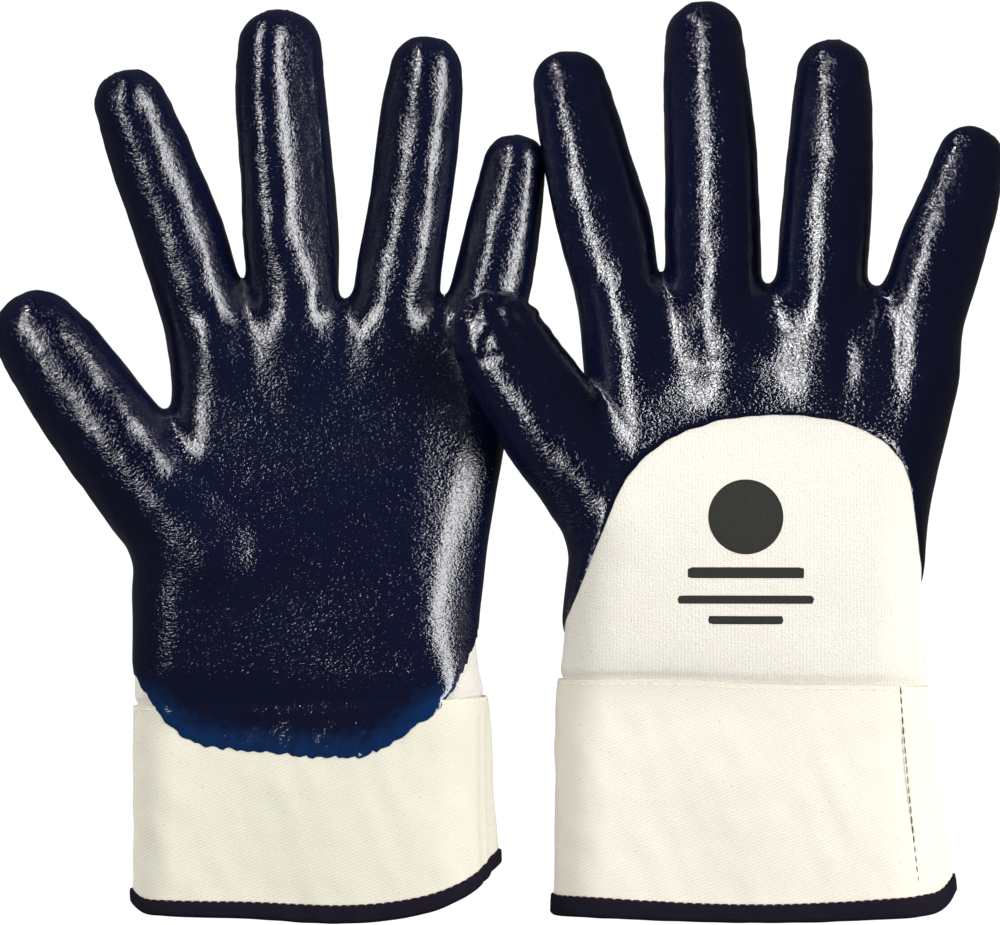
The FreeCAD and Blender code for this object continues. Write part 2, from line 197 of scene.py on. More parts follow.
RIGHT = {
    "palm": -1,
    "hand": [
        (-74, -57.0, 64.2, 16.0, 20.0, 16.8, 20.8),
        (-30, -56.6, 59.0, 16.0, 19.5, 17.5, 20.3),
        (0, -55.9, 55.8, 16.0, 18.0, 18.5, 20.5),
        (12, -54.3, 54.6, 17.0, 17.5, 20.5, 21.5),
        (24, -53.4, 53.8, 17.5, 17.0, 21.5, 22.0),
        (36, -52.0, 53.6, 17.5, 17.0, 22.5, 22.2),
        (50, -50.0, 54.6, 17.5, 16.5, 23.0, 22.0),
        (64, -48.5, 57.0, 17.0, 16.0, 22.5, 21.5),
        (80, -47.0, 60.5, 16.0, 15.0, 21.0, 20.5),
        (96, -46.5, 62.5, 12.9, 12.6, 20.0, 19.8),
        (108, -46.0, 61.5, 11.6, 11.6, 19.8, 19.5),
    ],
    "digits": {
        "thumb": [
            (-30, 44, 22, 16), (-40, 55, 23.5, 15.6), (-51, 71, 28, 15),
            (-61.5, 87, 33, 13.8), (-69.5, 98.5, 36.5, 12.8), (-74.3, 105.5, 38.4, 11.8),
        ],
        "index": [
            (-32, 94, 19.5, 13.4), (-37.6, 120, 19.6, 12.8), (-43, 145, 19, 12.3),
            (-47.2, 163, 16.5, 11.3), (-49.8, 174.5, 13.4, 10.6), (-51, 180.6, 11.3, 9.8),
        ],
        "middle": [
            (-8, 96, 19.8, 13.8), (-8.7, 124, 20.2, 13.9), (-9.2, 150, 19.4, 13.8),
            (-9.9, 173, 16.6, 13), (-10.8, 187, 13.8, 12.2), (-11.2, 194, 12.4, 11.3),
        ],
        "ring": [
            (20.5, 96, 19.6, 13.6), (23.4, 121, 20, 13.5), (24.9, 146, 19, 13.2),
            (26.3, 166, 16.2, 12.3), (27, 177.5, 13.4, 11.4), (27.2, 183.2, 12, 10.7),
        ],
        "little": [
            (48, 88, 19.6, 13.4), (53.6, 112, 19.5, 12.5), (59.3, 132, 17.2, 12),
            (64.4, 146, 14.2, 11), (67, 154.5, 11.6, 10), (68.2, 158.6, 10.4, 9.3),
        ],
    },
    "ovals": {"thumb": (2.2, -65), "index": (1.8, -65), "ring": (0.4, -45), "little": (1.4, -65)},
    "root": (0.0, -2.0),
    "slope": (26, 52, 0.0),
    "swells": [
        (-2, 103, 2.2, 12, 8), (-6, 89, 1.6, 10, 6), (21, 92, 3.2, 19, 11), (36, 96, 1.4, 8, 12),
        (54, 92, 2.6, 11, 11), (-34, 98, 1.2, 8, 9), (-10, 96.5, -0.8, 11, 2.6), (29, 99, -0.8, 3, 11),
        (10, 108, -0.6, 14, 3), (44, 100, -0.6, 3, 11),
    ],
    "rim": [
        (-57.4, -66.4), (-47.6, -66.2), (-30, -66.8), (-6, -67.3), (25, -66.7), (41, -65.9),
        (51, -65.2), (58.7, -63.4), (63.8, -57.9),
    ],
}
GLOVES = {"left": LEFT, "right": RIGHT}


def joint_at(name):
    """Where a joint of the frame is, in millimetres."""
    return np.array(next(j["pos_m"] for j in frame["joints"] if j["name"] == name)) / MM


def table_curve(points):
    """A smooth cubic curve through (x, value...) rows, flat beyond its ends."""
    rows = np.array(points, float)
    x, y = rows[:, 0], rows[:, 1:]
    step = np.diff(x)[:, None]
    slope = np.diff(y, axis=0) / step
    tangent = np.vstack([slope[:1], (slope[:-1] + slope[1:]) / 2, slope[-1:]])

    def at(q):
        q = np.clip(np.asarray(q, float), x[0], x[-1])
        i = np.clip(np.searchsorted(x, q, side="right") - 1, 0, len(x) - 2)
        h = (x[i + 1] - x[i])[..., None]
        t = (q - x[i])[..., None] / h
        a = y[i] * (1 + 2 * t) * (1 - t) ** 2 + y[i + 1] * t * t * (3 - 2 * t)
        return a + (tangent[i] * t * (1 - t) ** 2 - tangent[i + 1] * t * t * (1 - t)) * h

    return at


def ease(t):
    return t * t * (3 - 2 * t)


def smooth_step(value, low, high):
    return ease(np.clip((value - low) / (high - low), 0.0, 1.0))


def unit(vectors):
    """Rows scaled to a length of one."""
    return vectors / np.maximum(np.linalg.norm(vectors, axis=1), 1e-12)[:, None]


def run_along(points):
    """How far each point lies along a line through all of them."""
    return np.concatenate([[0], np.cumsum(np.linalg.norm(np.diff(points, axis=0), axis=1))])


def smooth_min(a, b, k):
    h = np.clip(0.5 + 0.5 * (b - a) / k, 0.0, 1.0)
    return b + (a - b) * h - k * h * (1 - h)


class Hand:
    """The outside of one dipped hand as a distance field, with its digits' centre lines."""

    def __init__(self, name):
        spec = GLOVES[name]
        self.name, self.palm = name, spec["palm"]
        self.at = joint_at(f"{name}_wrist_bend") * [1, 1, 0]
        self.section = table_curve(spec["hand"])
        self.y_range = spec["hand"][0][0], spec["hand"][-1][0]
        self.rim = table_curve(spec["rim"])
        self.digits, self.ovals = {}, spec["ovals"]
        self.slope, self.swells = spec["slope"], spec["swells"]
        for digit, rows in spec["digits"].items():
            stations = np.array(rows, float)
            if digit != "thumb":
                root = stations[0] - (stations[1] - stations[0]) * [0.9, 0.9, 0.9, 0]
                stations = np.vstack([root + [0, 0, *spec["root"]], stations])
                stations[1, 3] -= 0.6
            run = run_along(stations[:, :3])
            chain = table_curve(np.column_stack([run, stations]))
            hinge = joint_at(f"{name}_{digit}_bend") - self.at
            samples = chain(np.linspace(0, run[-1], 22))
            box = np.array([list(corner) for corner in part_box(f"{name}_{digit}_coating")]) / MM - self.at
            along = (box.mean(0) - hinge) * [1, 1, 0]
            along /= np.linalg.norm(along)
            self.digits[digit] = {"samples": samples, "hinge": hinge, "along": along}

    def palm_field(self, p):
        low, high = self.y_range
        left, right, r_left, r_right, z_left, z_right = self.section(p[:, 1]).T
        a, b = left + r_left, right - r_right
        t = np.clip((p[:, 0] - a) / (b - a), 0, 1)
        m = ease(t)
        dx = p[:, 0] - (a + (b - a) * t)
        dz = p[:, 2] - (z_left + (z_right - z_left) * m)
        dy = np.maximum(p[:, 1] - high, 0.0) + np.maximum(low - p[:, 1], 0.0)
        return np.sqrt(dx**2 + dy**2 + dz**2) - (r_left + (r_right - r_left) * m)

    def digit_field(self, p, digit):
        c = self.digits[digit]["samples"]
        best = np.full(len(p), 1e9)
        for a, b in zip(c[:-1], c[1:]):
            ab = b[:3] - a[:3]
            t = np.clip(((p - a[:3]) @ ab) / (ab @ ab), 0, 1)
            d = np.linalg.norm(p - a[:3] - t[:, None] * ab, axis=1) - (a[3] + (b[3] - a[3]) * t)
            np.minimum(best, d, out=best)
        return best

    def fields(self, p):
        """Distance to each digit, one column each; far points get a plain large number."""
        out = np.full((len(p), len(DIGITS)), 99.0)
        for k, digit in enumerate(DIGITS):
            c = self.digits[digit]["samples"]
            reach = c[:, 3].max() + 14
            low, high = c[:, :3].min(0) - reach, c[:, :3].max(0) + reach
            near = np.all((p > low) & (p < high), axis=1)
            out[near, k] = self.digit_field(p[near], digit)
        return out

    def field(self, p):
        d = self.palm_field(p)
        for column in self.fields(p).T:
            d = smooth_min(d, column, WEB)
        return d

    def gradient(self, p, d):
        e = 0.25
        return unit(np.column_stack([self.field(p + e * axis) - d for axis in np.eye(3)]))


def surface_nets(field, low, high, step):
    """Meshes the zero level of a field with one vertex in each grid cell that the level crosses."""
    axes = [np.arange(a, b + step, step) for a, b in zip(low, high)]
    shape = [len(a) for a in axes]
    grid = np.stack(np.meshgrid(*axes, indexing="ij"), -1).reshape(-1, 3)
    value = field(grid).reshape(shape)
    inside = value < 0
    corners = list(np.ndindex(2, 2, 2))
    cells = tuple(n - 1 for n in shape)

    def corner(array, c):
        return array[tuple(slice(low, low + n) for low, n in zip(c, cells))]

    count = sum(corner(inside, c).astype(int) for c in corners)
    active = (count > 0) & (count < 8)
    total = np.zeros(cells + (3,))
    hits = np.zeros(cells)
    for a in corners:
        for axis in range(3):
            if a[axis]:
                continue
            b = tuple(v + (i == axis) for i, v in enumerate(a))
            va, vb = corner(value, a), corner(value, b)
            cross = active & ((va < 0) != (vb < 0))
            t = np.where(cross, va / np.where(va == vb, 1, va - vb), 0)
            for i in range(3):
                total[..., i] += np.where(cross, a[i] + (t if i == axis else 0), 0)
            hits += cross
    index = np.full(cells, -1)
    index[active] = np.arange(active.sum())
    verts = np.argwhere(active) + total[active] / hits[active][:, None]
    verts = verts * step + np.array([a[0] for a in axes])
    faces = []
    for axis in range(3):
        u, v = np.eye(3, dtype=int)[[(axis + 1) % 3, (axis + 2) % 3]]
        edge = inside != np.roll(inside, -1, axis)
        first = [0 if i == axis else 1 for i in range(3)]
        spots = np.argwhere(edge[tuple(slice(i, -1) for i in first)]) + first
        quad = np.column_stack([index[tuple((spots - back).T)] for back in (0 * u, u, u + v, v)])
        outward = inside[tuple(spots.T)]
        quad[~outward] = quad[~outward][:, ::-1]
        faces.append(quad)
    faces = np.concatenate(faces)
    return verts, faces[(faces >= 0).all(axis=1)]


def relax(verts, faces, hand, rounds):
    """Evens out the quads and puts every vertex back on the surface."""
    edges = np.concatenate([faces[:, [i, (i + 1) % 4]] for i in range(4)])
    edges = np.unique(np.sort(edges, axis=1), axis=0)
    count = np.bincount(edges.ravel(), minlength=len(verts))[:, None]
    for _ in range(rounds):
        total = np.zeros_like(verts)
        for a, b in ((0, 1), (1, 0)):
            for i in range(3):
                total[:, i] += np.bincount(edges[:, a], verts[edges[:, b], i], len(verts))
        verts = verts + 0.6 * (total / np.maximum(count, 1) - verts)
        d = hand.field(verts)
        verts = verts - hand.gradient(verts, d) * d[:, None]
    d = hand.field(verts)
    return verts, hand.gradient(verts, d)


class Sheet:
    """A surface of quads and triangles with its normals and named values at every vertex."""

    def __init__(self, co, normal, quads, tris=(), **values):
        self.co, self.normal = co, normal
        self.quads = np.asarray(quads, int).reshape(-1, 4)
        self.tris = np.asarray(tris, int).reshape(-1, 3)
        self.values = values

    def faces(self):
        return [f for f in (self.quads, self.tris) if len(f)]

    def vertex_normals(self, co):
        total = np.zeros_like(co)
        for f in self.faces():
            first, second = ((0, 2), (1, 3)) if f.shape[1] == 4 else ((0, 1), (0, 2))
            cross = np.cross(*(co[f[:, b]] - co[f[:, a]] for a, b in (first, second)))
            for i in range(f.shape[1]):
                for axis in range(3):
                    total[:, axis] += np.bincount(f[:, i], cross[:, axis], len(co))
        return unit(total)

    def open_edges(self):
        edges = [f[:, [i, (i + 1) % f.shape[1]]] for f in self.faces() for i in range(f.shape[1])]
        edges = np.concatenate(edges)
        n = len(self.co)
        code, back = edges[:, 0] * n + edges[:, 1], edges[:, 1] * n + edges[:, 0]
        return edges[~np.isin(code, back)]

    def clip(self, f, snap=0.05):
        """The part of the sheet where f >= 0. Faces are cut along f = 0."""
        f = np.where(np.abs(f) < snap, 0.0, f)
        keep = f >= 0
        whole, polygons = [], []
        for faces in (self.quads, self.tris):
            inside = keep[faces]
            whole.append(faces[inside.all(1)])
            polygons += faces[inside.any(1) & ~inside.all(1)].tolist()
        made, pairs, tris = {}, [], []
        for polygon in polygons:
            kept = []
            for a, b in zip(polygon, polygon[1:] + polygon[:1]):
                if f[a] >= 0:
                    kept.append(a)
                if f[a] * f[b] < 0:
                    key = (min(a, b), max(a, b))
                    if key not in made:
                        made[key] = len(self.co) + len(pairs)
                        pairs.append(key)
                    kept.append(made[key])
            tris += [(kept[0], kept[i], kept[i + 1]) for i in range(1, len(kept) - 1)]
        pairs = np.array(pairs, int).reshape(-1, 2)
        t = (f[pairs[:, 0]] / (f[pairs[:, 0]] - f[pairs[:, 1]]))[:, None]

        def extended(values):
            flat = values.reshape(len(values), -1)
            return np.concatenate([flat, flat[pairs[:, 0]] * (1 - t) + flat[pairs[:, 1]] * t])

        tris = np.concatenate([whole[1], np.array(tris, int).reshape(-1, 3)])
        used = np.unique(np.concatenate([whole[0].ravel(), tris.ravel()]))
        index = np.full(len(self.co) + len(pairs), -1)
        index[used] = np.arange(len(used))
        normal = unit(extended(self.normal)[used])
        values = {k: extended(v)[used].reshape((-1,) + v.shape[1:]) for k, v in self.values.items()}
        return Sheet(extended(self.co)[used], normal, index[whole[0]], index[tris], **values)


def place(name, data):
    """A new object in the scene."""
    obj = bpy.data.objects.new(name, data)
    bpy.context.collection.objects.link(obj)
    return obj


def add_mesh(name, verts, faces, material, normals=None, points=None, corners=None):
    """A mesh object in metres. points: values at vertices; corners: the UV of every face corner."""
    mesh = bpy.data.meshes.new(name)
    mesh.from_pydata((verts * MM).tolist(), [], faces)
    mesh.materials.append(material)
    for key, value in (points or {}).items():
        kind = "FLOAT_VECTOR" if value.ndim == 2 else "FLOAT"
        attribute = mesh.attributes.new(key, kind, "POINT")
        attribute.data.foreach_set("vector" if value.ndim == 2 else "value", value.astype(np.float32).ravel())
    if corners is not None:
        mesh.uv_layers.new(name="UVMap").data.foreach_set("uv", corners.astype(np.float32).ravel())
    mesh.shade_smooth()
    if normals is not None:
        mesh.normals_split_custom_set(normals.tolist())
    return place(name, mesh)


def ring_quads(rings, count, bands):
    """Quads between neighbouring rings of points. As many bands as rings make a closed tube."""
    i, j = np.meshgrid(np.arange(bands), np.arange(count), indexing="ij")
    a, b = (i * count + j).ravel(), (i * count + (j + 1) % count).ravel()
    return np.column_stack([a, b, (b + count) % (rings * count), (a + count) % (rings * count)])


def unrolled(corners, turn):
    """UVs of the cuff's quads, so that those over the line where the ring closes do not run back."""
    across = corners[:, :, 0]
    jump = across.max(1) - across.min(1) > turn / 2
    across += turn * (jump[:, None] & (across < turn / 2))
    return corners.reshape(-1, 2)


def shell(name, hand, sheet, top, bottom, material):
    """A closed shell between two depths below a sheet, with the sheet's own smooth normals on both faces."""
    n = len(sheet.co)
    top, bottom = (np.broadcast_to(d, n)[:, None] for d in (top, bottom))
    outer, inner = sheet.co - sheet.normal * top, sheet.co - sheet.normal * bottom
    plain = sheet.vertex_normals(sheet.co)
    parts = [unit(sheet.normal + sheet.vertex_normals(co) - plain) for co in (outer, inner)]
    rim = sheet.open_edges()
    rim = np.column_stack([rim[:, 1], rim[:, 0], rim[:, 0] + n, rim[:, 1] + n])
    verts = np.concatenate([outer, inner])
    vertex_normal = np.concatenate([parts[0], -parts[1]])
    faces, loops = [], []
    for f in sheet.faces():
        for block in (f, f[:, ::-1] + n):
            faces += block.tolist()
            loops.append(vertex_normal[block.ravel()])
    faces += rim.tolist()
    flat = np.cross(verts[rim[:, 2]] - verts[rim[:, 0]], verts[rim[:, 3]] - verts[rim[:, 1]])
    loops.append(np.repeat(unit(flat), 4, axis=0))
    points = {k: np.concatenate([v, v]) for k, v in sheet.values.items() if k[0] != "_"}
    uv = sheet.values.get("_uv")
    corners = None
    if uv is not None:
        corners = unrolled(np.concatenate([uv, uv])[np.array(faces)], sheet.values["_turn"][0])
    return add_mesh(name, verts + hand.at, faces, material, np.concatenate(loops), points, corners)


def waves(p, pitch, seed, count=18):
    """Smooth repeatable noise of about unit size, the sum of plane waves in all directions."""
    rng = np.random.default_rng(seed)
    way = rng.normal(size=(count, 3))
    way *= (2 * np.pi / pitch / rng.uniform(0.75, 1.4, count) / np.linalg.norm(way, axis=1))[:, None]
    phase = rng.uniform(0, 2 * np.pi, count)
    return sum(np.sin(p @ w + a) for w, a in zip(way, phase)) / math.sqrt(count / 2)


def hand_sheet(hand):
    """The skin of the hand and digits as one sheet, open at the wrist, with its pieces' values."""
    samples = np.concatenate([d["samples"] for d in hand.digits.values()])
    left, right = hand.section(0)[:2]
    low = np.minimum((samples[:, :3] - samples[:, 3:]).min(0), [left, HAND_OPEN, 0]) - [4, 0, 4]
    high = np.maximum((samples[:, :3] + samples[:, 3:]).max(0), [right, 0, 38]) + 4
    low[1] = HAND_OPEN
    co, faces = surface_nets(hand.field, low, high, VOXEL)
    co, normal = relax(co, faces, hand, RELAX_ROUNDS)
    d = hand.fields(co)
    near = d.argmin(1)
    sheet = Sheet(co, normal, faces)
    sheet.co = co + normal * relief(hand, co, normal, d, near)[:, None]
    sheet.co = slope_off(hand, sheet.co)
    sheet.normal = sheet.vertex_normals(sheet.co)
    beyond = np.full(len(co), -50.0)
    turned, turn = co.copy(), np.zeros(len(co))
    for k, digit in enumerate(DIGITS):
        spec = hand.digits[digit]
        u = spec["along"]
        f = (co - spec["hinge"]) @ u + SEAM_BACK
        mine = (near == k) & (d[:, k] < 4) & (f > -25)
        beyond[mine] = f[mine]
        own = near == k
        turned[own] = np.column_stack([co @ [u[1], -u[0], 0], co @ u, co[:, 2]])[own]
        turn[own] = (smooth_step(8 - d[:, k], 0, 8) * smooth_step(f, -26, -8))[own]
    # Values whose names start with _ are not written to the mesh
    sheet.values = {"grain": co, "turned": turned, "turn": turn, "_near": near + 0.0, "_beyond": beyond}
    return sheet


def slope_off(hand, p):
    """Lowers the palm's top towards its right edge, between the wrist and the fingers."""
    first, last, share = hand.slope
    s = hand.section(p[:, 1])
    height = np.maximum((p[:, 2] - s[:, 5]) * hand.palm, 0)
    along = smooth_step(p[:, 1], 12, 34) * (1 - smooth_step(p[:, 1], 86, 108))
    return p - np.outer(share * smooth_step(p[:, 0], first, last) * along * height, [0, 0, hand.palm])


def relief(hand, p, normal, d, near):
    """How far the skin stands out from the plain shape."""
    y = p[:, 1]
    on_digit = smooth_step(3 - d.min(1), 0, 3)
    lumps = 0.16 * waves(p, 30, 3) + 0.07 * waves(p * [1.4, 0.8, 1.2], 11, 4) + 0.03 * waves(p, 5, 5)
    h = lumps * smooth_step(y, -4, 14) * (0.22 + 0.9 * on_digit) + cuff_relief(hand, p)
    top = smooth_step(normal[:, 2], 0, 0.6)
    for at_x, at_y, height, wide, long in hand.swells:
        h = h + top * height * np.exp(-(((p[:, 0] - at_x) / wide) ** 2) - ((y - at_y) / long) ** 2)
    for k, digit in enumerate(DIGITS):
        mine = (near == k) & (d[:, k] < 3)
        c = hand.digits[digit]["samples"]
        q = p[mine]
        best, at, way = np.full(len(q), 1e9), np.zeros((len(q), 3)), np.zeros((len(q), 3))
        radius = np.ones(len(q))
        for a, b in zip(c[:-1], c[1:]):
            ab = b[:3] - a[:3]
            t = np.clip(((q - a[:3]) @ ab) / (ab @ ab), 0, 1)
            point = a[:3] + t[:, None] * ab
            closer = np.linalg.norm(q - point, axis=1)
            take = closer < best
            best[take], at[take], way[take] = closer[take], point[take], ab / np.linalg.norm(ab)
            radius[take] = a[3]
        side = np.column_stack([way[:, 1], -way[:, 0], np.zeros(len(q))])
        across = ((q - at) * side).sum(1)
        up = (q - at)[:, 2] * hand.palm
        angle = np.degrees(np.arctan2(across, up))
        seam = sum(np.exp(-(((angle - s) / 5.0) ** 2)) for s in (-76, 76))
        past = (q - hand.digits[digit]["hinge"]) @ hand.digits[digit]["along"]
        fade = on_digit[mine] * smooth_step(past, -32, -10)
        h[mine] += 0.3 * seam * fade
        amount, wide_way = hand.ovals.get(digit, (0, 0))
        turn = np.arctan2(across, (q - at)[:, 2]) - math.radians(wide_way)
        reach = np.clip(np.hypot(across, up) / radius, 0, 1) ** 2
        h[mine] += amount * np.cos(2 * turn) * reach * fade
        if (hand.name, digit) == ("right", "thumb"):
            h[mine] += 0.34 * waves(q * [1, 1, 0.6], 5.5, 41) * smooth_step(past, 8, 20)
    # The dip bridges the step from the canvas down to the knit
    palm_side = smooth_step((p[:, 2] - 19) * hand.palm, -4, 4)
    h -= palm_side * 0.2 * smooth_step(y, 0, 2.5) * (1 - smooth_step(y, 4, 12))
    h -= palm_side * 0.3 * np.exp(-(((y - seam_y(hand, p[:, 0])) / 1.3) ** 2))
    return h


def side_weight(hand, p):
    """1 on the palm side, 0 on the back, turning over round the edges of the hand."""
    s = hand.section(p[:, 1])
    t = np.clip((p[:, 0] - s[:, 0]) / (s[:, 1] - s[:, 0]), 0, 1)
    mid, r = s[:, 4] + (s[:, 5] - s[:, 4]) * t, s[:, 2] + (s[:, 3] - s[:, 2]) * t
    shift = 0.3 * hand.palm
    return smooth_step((p[:, 2] - mid) / r * hand.palm + shift, -0.55, 0.55)


def dip_edge(hand, p):
    """Signed distance to the edge of the nitrile, positive on the dipped side."""
    palm, back = table_curve(PALM_EDGE), table_curve(BACK_EDGE)
    w = side_weight(hand, p)
    here, ahead = (palm(x)[:, 0] * w + back(x)[:, 0] * (1 - w) for x in (p[:, 0], p[:, 0] + 0.5))
    slope = np.clip((ahead - here) / 0.5, -4, 4)
    ragged = w * (0.45 * waves(p, 3.2, 8) + 0.3 * waves(p, 1.7, 9)) + (1 - w) * 0.12 * waves(p, 6, 10)
    return (p[:, 1] - here + ragged) / np.sqrt(1 + slope**2)


def seam_y(hand, x):
    first, last = (-0.3, 3.0) if hand.name == "left" else (4.1, 2.0)
    return first + (last - first) * (x + 53) / 106 + 0.25 * np.sin(x / 9.0 + first)


def build_hand(hand, mats):
    sheet = hand_sheet(hand)
    beyond = sheet.values["_beyond"]
    sheet.values["edge"] = dip_edge(hand, sheet.co)
    sheet.values["lap"] = 1 - smooth_step(sheet.co[:, 1], 2, 12)
    name = hand.name
    pieces = {}
    palm = sheet.clip(-beyond)
    coat = palm.clip(palm.values["edge"])
    e = coat.values["edge"]
    bottom = DIP_DEPTH - LAP_THINNER * (1 - smooth_step(coat.co[:, 1], -0.5, 1.5))
    round_off = np.sqrt(np.clip(1 - (np.clip(e / FEATHER, 0, 1) - 1) ** 2, 0, 1))
    top = (bottom - EDGE_T) * (1 - round_off)
    pieces["coat"] = shell(f"{name}_dipped_palm", hand, coat, top, bottom, mats["nitrile"])
    knit = palm.clip(palm.co[:, 1] - seam_y(hand, palm.co[:, 0]) + SEAM_TUCK)
    above = knit.co[:, 1] - seam_y(hand, knit.co[:, 0])
    pinch = SEAM_PINCH * np.exp(-((np.clip(above, 0, None) / SEAM_PINCH_REACH) ** 2))
    pieces["knit"] = shell(f"{name}_knit_hand", hand, knit, KNIT_IN + pinch, SKIN_T + pinch, mats["knit"])
    for k, digit in enumerate(DIGITS):
        part = sheet.clip(np.where(sheet.values["_near"] == k, beyond, -50.0))
        pieces[digit, "coat"] = shell(f"{name}_{digit}_dip", hand, part, 0.0, COAT_T, mats["nitrile"])
        pieces[digit, "knit"] = shell(f"{name}_{digit}_knit", hand, part, KNIT_IN, SKIN_T, mats["knit"])
    pieces["print"] = build_print(hand, knit, mats)
    hook_up(hand, pieces)


def build_print(hand, knit, mats):
    x, y = knit.co[:, 0], knit.co[:, 1]
    f = MARK_DISC_R - np.hypot(x, y - MARK_DISC_Y)
    for low, length, height in MARK_BARS:
        bar = np.minimum(length / 2 - np.abs(x), height / 2 - np.abs(y - low - height / 2))
        f = np.maximum(f, bar)
    mark = knit.clip(np.where(side_weight(hand, knit.co) < 0.5, f, -5.0), 0.02)
    return shell(f"{hand.name}_back_mark", hand, mark, KNIT_IN - INK_PROUD, KNIT_IN + INK_SUNK, mats["ink"])


def hook_up(hand, pieces):
    """Ties the hand's print to the hand's body of the frame, and puts the hand's pieces in place of its
    nodes.
    """
    name = hand.name
    for key in ("coat", "knit"):
        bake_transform(pieces[key])
    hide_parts(f"{name}_palm_coating", f"{name}_coating_cuff_lap", f"{name}_fold_zones")
    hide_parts(f"{name}_liner_palm_panel", f"{name}_liner_back_panel")
    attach(pieces["print"], f"{name}_hand")
    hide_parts(f"{name}_back_print")
    for digit in DIGITS:
        for key, node, slot in (("coat", "coating", "nitrile"), ("knit", "liner", "knit_cotton")):
            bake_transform(pieces[digit, key])
            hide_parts(f"{name}_{digit}_{node}")


def mouth_y(hand, x):
    return hand.rim(x)[:, 0]


def cuff_outline(hand, y, count):
    """Points of the cuff's section at y, evenly spaced round it from its left edge, over the top."""
    left, right, ra, rb, za, zb = hand.section(y)
    a, b = left + ra, right - rb
    t = np.linspace(0, 1, 100)
    m = ease(t)
    x, z, r = a + (b - a) * t, za + (zb - za) * m, ra + (rb - ra) * m
    arc = np.linspace(0, np.pi / 2, 60)
    c, s = np.cos(arc), np.sin(arc)
    parts = [
        (a - ra * c, za + ra * s), (x, z + r), (b + rb * s, zb + rb * c),
        (b + rb * c, zb - rb * s), (x[::-1], (z - r)[::-1]), (a - ra * s, za - ra * c),
    ]
    loop = np.concatenate([np.column_stack(part)[min(k, 1) :] for k, part in enumerate(parts)])
    run = run_along(loop)
    at = np.linspace(0, run[-1], count, endpoint=False)
    return np.column_stack([np.interp(at, run, loop[:, i]) for i in range(2)]), run[-1]


def cuff_turn(hand):
    """The length once round the cuff, half way along it."""
    return cuff_outline(hand, -30, 4)[1]


def cuff_sheet(hand, lows, highs, rows, count):
    """The cuff's outside between two curves of y over x, as a grid that closes round the arm."""
    s = np.arange(count)
    grid = np.zeros((rows, count, 3))
    stations = np.linspace(hand.y_range[0] + 0.5, 8, 60)
    loops = np.array([cuff_outline(hand, y, count)[0] for y in stations])
    x = loops[-1][:, 0]
    for i, t in enumerate(np.linspace(0, 1, rows)):
        for _ in range(3):
            y = lows(x) * (1 - t) + highs(x) * t
            k = np.clip((y - stations[0]) / (stations[1] - stations[0]), 0, len(stations) - 1.001)
            j = k.astype(int)
            point = loops[j, s] * (1 - (k - j))[:, None] + loops[j + 1, s] * (k - j)[:, None]
            x = point[:, 0]
        grid[i] = np.column_stack([x, y, point[:, 1]])
    quads = ring_quads(rows, count, rows - 1)[:, [0, 3, 2, 1]]
    turn = cuff_turn(hand)
    uv = np.stack([np.broadcast_to(s / count * turn, (rows, count)), grid[:, :, 1]], -1).reshape(-1, 2)
    sheet = Sheet(grid.reshape(-1, 3), None, quads)
    sheet.normal = sheet.vertex_normals(sheet.co)
    if ((sheet.co - sheet.co.mean(0)) * sheet.normal).sum() < 0:
        sheet.quads = sheet.quads[:, ::-1]
        sheet.normal = -sheet.normal
    sheet.co = sheet.co + sheet.normal * cuff_relief(hand, sheet.co)[:, None]
    sheet.normal = sheet.vertex_normals(sheet.co)
    sheet.values = {"_uv": uv, "_turn": np.full(len(uv), turn)}
    return sheet


def cuff_ring(hand, level, count):
    """Points and normals of the cuff's outside along one curve of y over x."""
    ring = cuff_sheet(hand, lambda x: level(x) - 1, lambda x: level(x) + 1, 3, count)
    return ring.co[count : 2 * count], ring.normal[count : 2 * count]


def cuff_relief(hand, p):
    x, y = p[:, 0], p[:, 1]
    h = 0.35 * waves(p * [1, 0.6, 1], 38, 21) * smooth_step(-y, 2, 16)
    h += 0.07 * waves(p, 9, 22) * smooth_step(-y, 1, 6)
    if hand.name == "left":
        for crease in (51.8, 54.0):
            h -= 0.7 * np.exp(-(((x - crease + 0.02 * y) / 0.75) ** 2)) * smooth_step(-y, 1, 6)
    return h


def build_cuff(hand, mats):
    name = hand.name
    pieces = []
    ends = (lambda x: mouth_y(hand, x) + 1.6), (lambda x: seam_y(hand, x))
    sheet = cuff_sheet(hand, *ends, CUFF_ROWS, CUFF_COLUMNS)
    for node, piece, top, bottom, slot in (
        ("cuff_outer_canvas", "canvas", LAP_RISE, LAP_RISE + CANVAS_T, "canvas"),
        ("cuff_interlining", "stiffener", LAP_RISE + 0.85, LAP_RISE + 1.2, "interlining"),
        ("cuff_inner_canvas", "lining", LAP_RISE + 1.25, LAP_RISE + CUFF_T, "canvas"),
    ):
        obj = shell(f"{name}_cuff_{piece}", hand, sheet, top, bottom, mats[f"{name}_canvas"])
        pieces.append((obj, node, slot))
    pieces.append((build_tape(hand, mats), "cuff_binding_tape", "binding_tape"))
    pieces.append((ring_stitches(hand, mats, "binding"), "binding_thread", "brown_thread"))
    pieces.append((side_stitches(hand, mats), "side_seam_thread", "dark_thread"))
    pieces.append((ring_stitches(hand, mats, "wrist_seam"), "wrist_seam_thread", "cotton_thread"))
    for obj, node, slot in pieces:
        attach(obj, f"{name}_cuff")
        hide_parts(f"{name}_{node}")


def tape_height(hand, x):
    """How far up the cuff the tape reaches."""
    if hand.name == "left":
        return 3.6 + 0.4 * np.cos((x - 14) / 24)
    return 4.5 - 0.45 * np.cos(x / 22)


